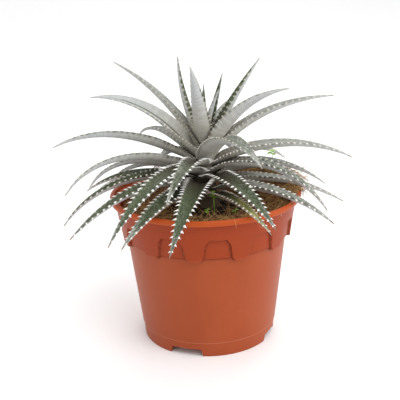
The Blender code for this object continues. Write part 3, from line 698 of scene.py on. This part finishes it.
def soil_relief(x, y):
    """Height of the soil over its level: low waves and a mound of coir behind right."""
    waves = math.sin(x * 310 + 1.3) * math.cos(y * 270 + 0.4) + 0.7 * math.sin(x * 520 - y * 430 + 2.0)
    tuft = math.exp(-((x - MOUND_PLACE[0]) ** 2 + (y - MOUND_PLACE[1]) ** 2) / (2 * MOUND_SPREAD**2))
    return 0.0009 * waves + MOUND_HEIGHT * tuft


def soil_top(x, y):
    return SOIL_HEIGHT + soil_relief(x, y)


def tuft_top(x, y, share=1.0):
    """Height that the loose coir lies on: the soil, the rim and the drop outside it, with a tuft behind right."""
    radius = math.hypot(x, y)
    if radius > BEAD_RADIUS + 0.0006:
        return POT_HEIGHT - 0.0040
    away = abs(math.degrees(math.atan2(y, x)) - 26) / 32
    heap = max(0.0, 1 - away * away) * 0.0052 * share * max(0.0, 1 - (abs(radius - 0.067) / 0.013) ** 2)
    if radius < 0.0660:
        return max(soil_top(x, y), SOIL_HEIGHT + 0.0088 * min(1.0, max(0.0, 1 - away * away) * 2)) + heap
    return POT_HEIGHT + 0.0002 + heap


def make_offset(green):
    """A small offset rosette beside the plant."""
    top = soil_top(*OFFSET_PLACE) + 0.0035
    blades = []
    for index in range(11):
        share = index / 10
        azimuth = 200 + index * GOLDEN_ANGLE
        rise = 24 + 56 * share
        length = 0.0150 - 0.0050 * share
        leaf = Leaf(
            f"offset_blade_{index}", azimuth, top - 0.0016 + 0.0016 * share, rise, rise - 22, 1.0, 0, 0,
            length, 0.0040, 0.75, 0.1, 0.6,
        )
        curve = make_curve(leaf, OFFSET_RADIUS / 2, OFFSET_PLACE)
        blades.append(make_leaf(leaf, curve, green, 71 + index, 30))
    stand_for(join("look_offset", blades), "offset_1")


def tube(points, radius, sides=4, taper=0.5):
    """Points and faces of a thin tube along a line, narrowing to its end."""
    line = [Vector(p) for p in points]
    rings = []
    up = Vector((0.31, 0.17, 0.93)).normalized()
    for index, point in enumerate(line):
        ahead = line[min(index + 1, len(line) - 1)] - line[max(index - 1, 0)]
        ahead.normalize()
        side = ahead.cross(up)
        if side.length < 0.1:
            side = ahead.cross(Vector((1, 0, 0)))
        side.normalize()
        other = ahead.cross(side)
        size = radius * (1 - (1 - taper) * index / (len(line) - 1))
        for corner in range(sides):
            angle = 2 * math.pi * corner / sides
            rings.append(point + side * math.cos(angle) * size + other * math.sin(angle) * size)
    faces = []
    for index in range(len(line) - 1):
        for corner in range(sides):
            a = index * sides + corner
            b = index * sides + (corner + 1) % sides
            faces.append((a, b, b + sides, a + sides))
    faces.append(tuple(range(sides - 1, -1, -1)))
    last = (len(line) - 1) * sides
    faces.append(tuple(range(last, last + sides)))
    return rings, faces


def strands_object(name, strands, material):
    """One mesh of many tubes, each with its own shade."""
    points = []
    faces = []
    shades = []
    for rings, sides, shade in strands:
        start = len(points)
        points += rings
        faces += [tuple(start + i for i in face) for face in sides]
        shades += [shade] * len(rings)
    thing = mesh_object(name, points, faces, material, 180)
    layer = thing.data.attributes.new("shade", "FLOAT", "POINT")
    layer.data.foreach_set("value", np.array(shades, np.float32))
    return thing


def curl(start, heading, length, draw, wander=0.6, sag=0.0, steps=9):
    """A wandering line from a start, with a slow turn of its heading."""
    point = Vector(start)
    ahead = Vector(heading).normalized()
    twist = Vector([draw.uniform(-1, 1) for _ in range(3)]) * wander
    points = [point.copy()]
    for _ in range(steps):
        ahead = (ahead + twist * 0.22 + Vector([draw.uniform(-1, 1) for _ in range(3)]) * 0.10 * wander).normalized()
        ahead.z -= sag / steps
        point = point + ahead * length / steps
        points.append(point.copy())
    return points


def make_soil():
    """Rough soil surface, the soil's hidden sides, and the coir strands that lie on it."""
    draw = random.Random(5)
    inner = STEM_SOIL_RADIUS + GAP
    outer = 0.0664
    around = 220
    rows = 64
    points = []
    for row in range(rows + 1):
        radius = inner + (outer - inner) * row / rows
        for step in range(around):
            angle = 2 * math.pi * step / around
            x = radius * math.cos(angle)
            y = radius * math.sin(angle)
            rough = noise.fractal(Vector((x, y, 0.0)) * 170, 0.8, 2.1, 5)
            ridge = noise.fractal(Vector((x + 3, y, 0.4)) * 520, 0.9, 2.0, 3)
            fade = min(1.0, (outer - radius) / 0.004)
            lift = soil_relief(x, y) + (0.0011 * rough + 0.0005 * ridge) * (0.3 + 0.7 * fade)
            points.append((x, y, SOIL_HEIGHT - 0.0004 + lift))
    for radius, height in ((0.0655, 0.1000), (0.0610, 0.0835), (0.0525, 0.0110), (0.0505, 0.0093)):
        for step in range(around):
            angle = 2 * math.pi * step / around
            points.append((radius * math.cos(angle), radius * math.sin(angle), height))
    rings = rows + 5
    faces = []
    for ring in range(rings - 1):
        for step in range(around):
            a = ring * around + step
            b = ring * around + (step + 1) % around
            faces.append((a, b, b + around, a + around))
    last = (rings - 1) * around
    faces.append(tuple(range(last, last + around)))
    faces.append(tuple(range(around - 1, -1, -1)))
    soil = mesh_object("look_soil", points, faces, soil_look(), 70)
    outward(soil)
    stand_for(soil, "soil")

    strands = []
    for _ in range(900):
        radius = 0.064 * math.sqrt(draw.uniform(0.05, 1.0))
        angle = draw.uniform(0, 2 * math.pi)
        x = radius * math.cos(angle)
        y = radius * math.sin(angle)
        heading = (math.cos(draw.uniform(0, 6.3)), math.sin(draw.uniform(0, 6.3)), draw.uniform(-0.05, 0.35))
        length = draw.uniform(0.005, 0.016)
        line = curl((x, y, soil_top(x, y) - 0.0002), heading, length, draw, 0.8, draw.uniform(0.1, 0.6), 6)
        line = [p for p in line if math.hypot(p.x, p.y) < 0.0665]
        if len(line) < 3:
            continue
        for p in line:
            p.z = max(p.z, soil_top(p.x, p.y) - 0.0003)
        strands.append((*tube(line, draw.uniform(0.00010, 0.00024), 3), draw.random()))
    for _ in range(640):
        angle = math.radians(draw.uniform(185, 345))
        radius = draw.uniform(0.036, 0.0655)
        x = radius * math.cos(angle)
        y = radius * math.sin(angle)
        heading = (draw.uniform(-1, 1), draw.uniform(-1, 1), draw.uniform(0.0, 0.25))
        line = curl((x, y, soil_top(x, y) + 0.0002), heading, draw.uniform(0.006, 0.018), draw, 0.8, 0.3, 7)
        line = [p for p in line if math.hypot(p.x, p.y) < 0.0668]
        if len(line) < 3:
            continue
        for p in line:
            p.z = max(p.z, soil_top(p.x, p.y))
        strands.append((*tube(line, draw.uniform(0.00014, 0.00028), 3), draw.uniform(0.6, 1.0)))
    for _ in range(2100):
        angle = math.radians(draw.uniform(-8, 62))
        radius = draw.uniform(0.050, 0.0760)
        x = radius * math.cos(angle)
        y = radius * math.sin(angle)
        heading = (draw.uniform(-1, 1), draw.uniform(-1, 1), draw.uniform(-0.1, 0.4))
        depth = draw.uniform(0.0, 1.0) ** 1.6
        start = (x, y, tuft_top(x, y, 1 - depth) + draw.uniform(-0.0006, 0.0004))
        line = curl(start, heading, draw.uniform(0.006, 0.017), draw, 1.2, 0.5, 8)
        for p in line:
            p.z = max(p.z, tuft_top(p.x, p.y, 1 - depth) - 0.0004)
        strands.append((*tube(line, draw.uniform(0.00014, 0.00030), 3), draw.random()))
    for radius, shade, points in LOOSE:
        line = [Vector(point) for point in points]
        for _ in range(3):
            cut = [line[0]]
            for first, second in zip(line, line[1:]):
                cut += [first * 0.75 + second * 0.25, first * 0.25 + second * 0.75]
            line = cut + [line[-1]]
        strands.append((*tube(line, radius, 5), shade))
    material = fibre_look("coir_fibre", rgb(112, 66, 30), rgb(222, 180, 116))
    fibres = strands_object("look_coir_fibres", strands, material)
    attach(fibres, "root")


def make_stem():
    """The stem with rough rings of old leaf bases."""
    around = 48
    rows = 60
    points = []
    for row in range(rows + 1):
        height = STEM_TOP - (STEM_TOP - STEM_FOOT) * row / rows
        for step in range(around):
            angle = 2 * math.pi * step / around
            spot = Vector((math.cos(angle) * 3, math.sin(angle) * 3, height * 300))
            radius = stem_radius(height) - 0.0004 + 0.0004 * noise.noise(spot)
            points.append((radius * math.cos(angle), radius * math.sin(angle), height))
    faces = []
    for row in range(rows):
        for step in range(around):
            a = row * around + step
            b = row * around + (step + 1) % around
            faces.append((a, b, b + around, a + around))
    last = rows * around
    faces.append(tuple(range(last, last + around)))
    faces.append(tuple(range(around - 1, -1, -1)))
    stem = mesh_object("look_stem", points, faces, stem_look(), 60)
    outward(stem)
    stand_for(stem, "stem")


def leaflet(centre, heading, tilt, size):
    """A small round leaf with a shallow fold, as points and faces."""
    points = []
    faces = []
    rows = 8
    columns = 6
    ahead = Vector((math.cos(heading) * math.cos(tilt), math.sin(heading) * math.cos(tilt), math.sin(tilt)))
    side = Vector((-math.sin(heading), math.cos(heading), 0.0))
    up = ahead.cross(side)
    for face_side in (1, -1):
        for row in range(rows + 1):
            share = row / rows
            half = size * 0.48 * math.sin(math.pi * min(1.0, share**0.8)) ** 0.7 + 0.00003
            for column in range(columns + 1):
                across = column / columns * 2 - 1
                lift = 0.25 * half * across * across - 0.15 * size * share * share
                thick = face_side * 0.00012 * (1 - across * across)
                points.append(Vector(centre) + ahead * size * share + side * half * across + up * (lift + thick))
    width = columns + 1
    half_count = (rows + 1) * width
    for row in range(rows):
        for column in range(columns):
            a = row * width + column
            faces.append((a, a + 1, a + 1 + width, a + width))
            b = a + half_count
            faces.append((b, b + width, b + 1 + width, b + 1))
    return points, faces


def make_seedlings():
    """Weed seedlings: a thin stem with round leaves at its top."""
    material = weed_look()
    for number, (name, place, height, radius, count) in enumerate(SEEDLINGS):
        draw = random.Random(40 + number)
        base = soil_top(*place)
        top = base + height
        line = []
        for step in range(9):
            share = step / 8
            sway = math.sin(share * 3.0) * 0.00025
            line.append((place[0] + sway, place[1] - sway, base - 0.003 + (height + 0.003) * share))
        points, faces = tube(line, 0.00042, 6, 0.6)
        for index in range(count):
            heading = math.radians(20 + index * 360 / count)
            start = (place[0], place[1], top - 0.0004 - index * 0.0006)
            more, sides = leaflet(start, heading, draw.uniform(-0.1, 0.35), radius * 1.9)
            offset = len(points)
            points += more
            faces += [tuple(offset + i for i in face) for face in sides]
        stand_for(mesh_object("look_" + name, points, faces, material, 60), name)
    points = []
    faces = []
    for height, heading, size in ((0.0130, 40, 0.0034), (0.0142, 160, 0.0038), (0.0162, 270, 0.0034), (0.0176, 95, 0.0030)):
        start = (*SPRIG_PLACE, SOIL_HEIGHT + height)
        line = [(*SPRIG_PLACE, SOIL_HEIGHT - 0.002), (SPRIG_PLACE[0] + 0.0004, SPRIG_PLACE[1], SOIL_HEIGHT + 0.003), start]
        for more, sides in (leaflet(start, math.radians(heading), 0.25, size), tube(line, 0.0003, 5, 0.8)):
            offset = len(points)
            points += more
            faces += [tuple(offset + i for i in face) for face in sides]
    sprig = mesh_object("look_sprig", points, faces, material, 60)
    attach(sprig, "root")


def make_stalk():
    """The dry stalk left standing in front of the plant."""
    base = soil_top(*STALK_PLACE)
    line = []
    for step in range(13):
        share = step / 12
        sway = 0.0003 * math.sin(share * 9)
        line.append((STALK_PLACE[0] + sway, STALK_PLACE[1] - sway, base - 0.003 + (STALK_HEIGHT + 0.003) * share))
    material = fibre_look("stalk_straw", rgb(110, 74, 40), rgb(176, 132, 78))
    stalk = strands_object("look_stalk", [(*tube(line, 0.0006, 8, 0.6), 0.5)], material)
    stand_for(stalk, "dry_stalk")


def ease(value, low, high):
    """0 below low and 1 above high, with a soft slope between them."""
    share = np.clip((value - low) / (high - low), 0.0, 1.0)
    return share * share * (3 - 2 * share)


def nearest_across(angles, radius, first, count):
    """Distance along the wall from the middle of the nearest of several evenly spaced places."""
    step = 2 * math.pi / count
    turn = (angles - math.radians(first) + step / 2) % step - step / 2
    return np.abs(turn) * radius


def wall_radius(height):
    share = (height - FOOT_LINE_HEIGHT) / (LINER_EDGE_HEIGHT - FOOT_LINE_HEIGHT)
    return WALL_FOOT_RADIUS + share * (WALL_TOP_RADIUS - WALL_FOOT_RADIUS)


def liner_radius(height):
    """Outer radius of the wall behind the collar."""
    heights = (LINER_EDGE_HEIGHT, 0.1035, 0.1075, BEAD_UNDERSIDE)
    radii = (LINER_EDGE_RADIUS, LINER_EDGE_RADIUS + 0.0021, LINER_TOP_RADIUS - 0.0006, LINER_TOP_RADIUS)
    return np.interp(height, heights, radii)


def collar_radius(height, angles):
    """Outer radius at one height of the collar: raised tabs, windows and a stepped edge; and how much painted shade
    lies there in a crease.
    """
    heights = (TAB_EDGE_HEIGHT, LINER_EDGE_HEIGHT, 0.1073, BEAD_UNDERSIDE)
    radii = (COLLAR_EDGE_RADIUS - 0.0004, COLLAR_EDGE_RADIUS, COLLAR_TOP_RADIUS - 0.0008, COLLAR_TOP_RADIUS)
    raised = np.interp(height, heights, radii)
    plain = wall_radius(min(height, LINER_EDGE_HEIGHT))
    step = ease(height, LINER_EDGE_HEIGHT - POT_EDGE, LINER_EDGE_HEIGHT)
    behind = plain + (liner_radius(height) - plain) * step
    low = (TAB_EDGE_HEIGHT, TAB_EDGE_HEIGHT + 0.0034, WINDOW_TOP - 0.0040, WINDOW_TOP)
    half = np.interp(height, low, WINDOW_HALF_WIDTH + np.array([0.0028, 0.0004, -0.0012, -0.0042]))
    inside = half - nearest_across(angles, COLLAR_EDGE_RADIUS, WINDOW_AZIMUTH, WINDOW_COUNT)
    inside = np.minimum(inside, WINDOW_TOP - height)
    tab = 1 - ease(inside, -POT_EDGE / 2, POT_EDGE / 2)
    tab = tab * ease(height, TAB_EDGE_HEIGHT, TAB_EDGE_HEIGHT + POT_EDGE)
    # Painted shade along the window edges, under the liner step and under the tabs' lower edges
    corner = np.clip(1 - np.abs(inside - 0.0004) / 0.0008, 0.0, 1.0) * ease(height, TAB_EDGE_HEIGHT - 0.0006, 0.0850)
    below = ease(height, LINER_EDGE_HEIGHT - 0.0017, LINER_EDGE_HEIGHT - 0.0008) * (1 - step) * (inside > 0)
    foot = ease(height, TAB_EDGE_HEIGHT - 0.0014, TAB_EDGE_HEIGHT - 0.0004) * (height < TAB_EDGE_HEIGHT) * (inside < 0)
    return behind + (raised - behind) * tab, np.maximum(np.maximum(corner, below), foot) * 0.75


def rounded(points, times=1):
    """Cuts the corners of a line of points, so that it reads as a soft moulded edge."""
    line = [np.array(point) for point in points]
    for _ in range(times):
        cut = [line[0]]
        for first, second in zip(line, line[1:]):
            cut += [first * 0.75 + second * 0.25, first * 0.25 + second * 0.75]
        line = cut + [line[-1]]
    return line


def pot_rings():
    """Radii and heights of the pot's rings, from the floor up the inside, over the rim and down to the foot."""
    angles = 2 * math.pi * np.arange(POT_COLUMNS) / POT_COLUMNS
    rings = []

    def ring(radius, height):
        rings.append((radius + 0 * angles, height + 0 * angles, 0 * angles))

    floor_edge = wall_radius(FLOOR_TOP) - WALL_THICKNESS
    ring(floor_edge - 0.0012, FLOOR_TOP)
    ring(floor_edge, FLOOR_TOP + 0.0008)
    for height in (FLOOR_TOP + 0.0020, 0.0450, 0.0835):
        ring(wall_radius(height) - WALL_THICKNESS, height)
    for height in np.linspace(LINER_EDGE_HEIGHT, BEAD_UNDERSIDE, 12):
        ring(liner_radius(height) - WALL_THICKNESS, height)
    bead = [
        (LINER_TOP_RADIUS - WALL_THICKNESS + 0.0004, BEAD_UNDERSIDE + 0.0005),
        (BEAD_RADIUS - 0.0041, 0.1167),
        (BEAD_RADIUS - 0.0036, 0.1188),
        (BEAD_RADIUS - 0.0020, POT_HEIGHT + 0.0002),
        (BEAD_RADIUS - 0.0004, 0.1192),
        (BEAD_RADIUS, 0.1178),
        (BEAD_RADIUS, 0.1164),
        (BEAD_RADIUS - 0.0008, BEAD_UNDERSIDE),
        (COLLAR_TOP_RADIUS + 0.0006, BEAD_UNDERSIDE + 0.0001),
    ]
    for radius, height in rounded(bead):
        ring(radius, height)
    for height in np.arange(BEAD_UNDERSIDE - 0.0004, TAB_EDGE_HEIGHT - 0.0018, -0.0003):
        radius, crease_shade = collar_radius(height, angles)
        rings.append((radius, height + 0 * angles, crease_shade))
    for height in np.linspace(TAB_EDGE_HEIGHT - 0.0022, FOOT_LINE_HEIGHT, 10):
        ring(wall_radius(height), height)
    ring(WALL_FOOT_RADIUS - 0.0005, FOOT_LINE_HEIGHT - 0.0004)
    across = nearest_across(angles, FOOT_RADIUS, NOTCH_AZIMUTH, NOTCH_COUNT)
    bottom = np.clip((NOTCH_HALF_WIDTH + 0.0014 - across) / 0.0014, 0.0, 1.0) * NOTCH_TOP
    top = FLOOR_UNDERSIDE
    foot_slope = (WALL_FOOT_RADIUS - 0.0005 - FOOT_RADIUS) / (FOOT_LINE_HEIGHT - 0.0004)
    for share in (1.0, 0.75, 0.5, 0.25, 0.08, 0.0):
        height = bottom + (top - bottom) * share
        radius = FOOT_RADIUS + foot_slope * height - (0.0003 if share == 0.0 else 0.0)
        rings.append((radius, height, 0 * angles))
    for share in (0.0, 0.08, 0.5, 0.97):
        height = bottom + (top - bottom) * share
        radius = FOOT_RADIUS - 0.0022 + (0.0003 if share == 0.0 else 0.0) + 0 * angles
        rings.append((radius, height, 0 * angles))
    ring(FOOT_RADIUS - 0.0028, top)
    return angles, rings


def make_pot():
    """The nursery pot with soft moulded edges, closed all round, with its drain holes."""
    angles, rings = pot_rings()
    points = []
    crease_shades = []
    for radius, height, crease_shade in rings:
        points += list(np.stack([radius * np.cos(angles), radius * np.sin(angles), height], 1))
        crease_shades += list(crease_shade)
    faces = []
    for row in range(len(rings) - 1):
        for column in range(POT_COLUMNS):
            a = row * POT_COLUMNS + column
            b = row * POT_COLUMNS + (column + 1) % POT_COLUMNS
            faces.append((a, b, b + POT_COLUMNS, a + POT_COLUMNS))
    last = (len(rings) - 1) * POT_COLUMNS
    faces.append(tuple(range(POT_COLUMNS - 1, -1, -1)))
    faces.append(tuple(range(last, last + POT_COLUMNS)))
    pot = mesh_object("look_pot", points, faces, pot_look(), 35)
    layer = pot.data.attributes.new("crease_shade", "FLOAT", "POINT")
    layer.data.foreach_set("value", np.array(crease_shades, np.float32))
    outward(pot)
    drains = bpy.data.meshes.new("drains")
    bm = bmesh.new()
    for index in range(DRAIN_COUNT):
        turn = math.radians(NOTCH_AZIMUTH + 45 + index * 360 / DRAIN_COUNT)
        middle = Vector((DRAIN_CIRCLE * math.cos(turn), DRAIN_CIRCLE * math.sin(turn), 0.008))
        bmesh.ops.create_cone(
            bm, cap_ends=True, segments=40, radius1=DRAIN_RADIUS, radius2=DRAIN_RADIUS, depth=0.012,
            matrix=Matrix.Translation(middle),
        )
    bm.to_mesh(drains)
    bm.free()
    cutter = bpy.data.objects.new("drains", drains)
    bpy.context.scene.collection.objects.link(cutter)
    holes = pot.modifiers.new("holes", "BOOLEAN")
    holes.object = cutter
    holes.solver = "EXACT"
    graph = bpy.context.evaluated_depsgraph_get()
    pot.data = bpy.data.meshes.new_from_object(pot.evaluated_get(graph))
    pot.modifiers.clear()
    bpy.data.objects.remove(cutter)
    stand_for(pot, "pot")


def make_stage():
    """A pale floor that curves up behind, and a plain white world."""
    look = Look("stage_paper")
    place = look.place()
    tone = look.noise(place, 3, 2.0, 0.5)
    color = look.mix(tone, rgb(246, 246, 246), rgb(252, 252, 252))
    material = look.finish(color, 0.9)
    depth = ((-3.0, 0.0), (1.2, 0.0), (1.6, 0.06), (1.9, 0.25), (2.1, 0.6), (2.2, 2.4))
    points = []
    for y, z in depth:
        points += [(-4.0, y, z), (4.0, y, z)]
    faces = [(2 * i, 2 * i + 1, 2 * i + 3, 2 * i + 2) for i in range(len(depth) - 1)]
    floor = mesh_object("stage_floor", points, faces, material, 180)
    world = bpy.data.worlds.new("studio")
    bpy.context.scene.world = world
    world.use_nodes = True
    background = world.node_tree.nodes["Background"]
    background.inputs["Color"].default_value = (1.0, 1.0, 1.0, 1.0)
    background.inputs["Strength"].default_value = 0.9


def add_light(name, place, size, power):
    """A square soft light aimed at the plant."""
    data = bpy.data.lights.new(name, "AREA")
    data.size = size
    data.energy = power
    light = bpy.data.objects.new(name, data)
    bpy.context.scene.collection.objects.link(light)
    light.location = place
    aim = Vector((0, 0, 0.12)) - Vector(place)
    light.rotation_euler = aim.to_track_quat("-Z", "Y").to_euler()


def make_lights():
    add_light("key", (0.5, -0.9, 1.4), 0.9, 9)
    add_light("fill", (1.2, -0.5, 0.6), 1.0, 5)
    add_light("back", (0.2, 1.0, 1.0), 1.0, 6)
    bpy.context.scene.view_settings.view_transform = "Standard"


def make_camera():
    """The photo's viewpoint: level with the plant from a little above, with a slight tilt."""
    lift = math.radians(18.8)
    place = Vector((0, -math.cos(lift), math.sin(lift))) * 0.644 + Vector((0, 0, 0.100))
    data = bpy.data.cameras.new("camera")
    data.lens = 72
    data.sensor_width = 36
    data.shift_x = -0.015
    data.shift_y = 0.034
    camera = bpy.data.objects.new("camera", data)
    bpy.context.scene.collection.objects.link(camera)
    turn = Matrix.Rotation(math.radians(90) - lift, 4, "X") @ Matrix.Rotation(math.radians(-1.7), 4, "Z")
    camera.matrix_world = Matrix.Translation(place) @ turn
    bpy.context.scene.camera = camera


make_pot()
make_soil()
make_stem()
GREEN = make_leaves()
make_offset(GREEN)
make_seedlings()
make_stalk()
make_stage()
make_lights()
make_camera()
